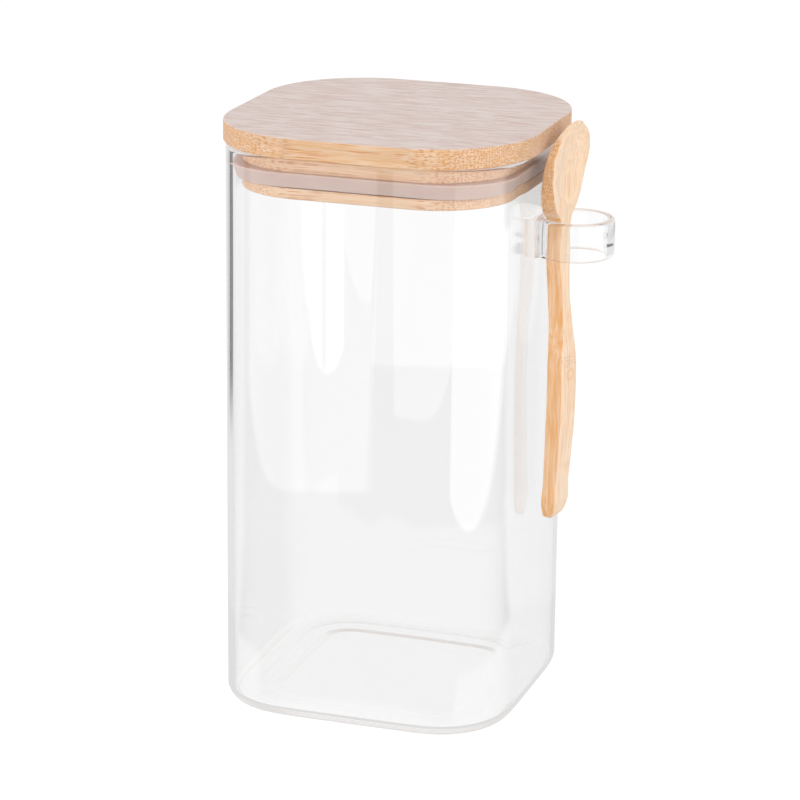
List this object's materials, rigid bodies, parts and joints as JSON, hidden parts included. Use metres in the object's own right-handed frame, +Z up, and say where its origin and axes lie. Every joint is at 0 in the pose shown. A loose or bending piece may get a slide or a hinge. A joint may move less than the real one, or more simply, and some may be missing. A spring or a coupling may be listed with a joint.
{
  "type": "glass storage canister",
  "caption": "Tall square glass storage canister with round corners, a lift-off bamboo lid sealed by a silicone ring, and a bamboo spoon hung in a glass loop on its side.",
  "frame": {"origin": "on the jar's upright axis, at the flat underside that it stands on", "axes": "+Z up along the jar, +X towards the wall that carries the glass loop and the spoon, +Y to the back"},
  "size_m": [0.1265, 0.1052, 0.1996],
  "materials": {
    "borosilicate_glass": "clear, blown and fire-polished, about 2 mm thick",
    "bamboo_board": "pressed bamboo board, sanded and matt, grain from left to right",
    "bamboo_block": "bamboo, sanded and matt, seen through the glass",
    "silicone": "translucent soft silicone with a satin skin",
    "bamboo_spoon": "bamboo cut along the grain, sanded and lightly oiled"
  },
  "bodies": {
    "jar": {"glass_jar": "borosilicate_glass", "glass_loop": "borosilicate_glass"},
    "lid": {"lid_board": "bamboo_board", "lid_block": "bamboo_block", "lid_seal": "silicone"},
    "spoon": {"spoon": "bamboo_spoon"}
  },
  "joints": [
    {"name": "lid_lift", "type": "slide", "parent": "jar", "child": "lid", "axis": [0, 0, 1], "range_m": [0, 0.05]},
    {"name": "spoon_lift", "type": "slide", "parent": "jar", "child": "spoon", "axis": [0.0863, -0.0121, 0.9962], "range_m": [0, 0.115]}
  ]
}
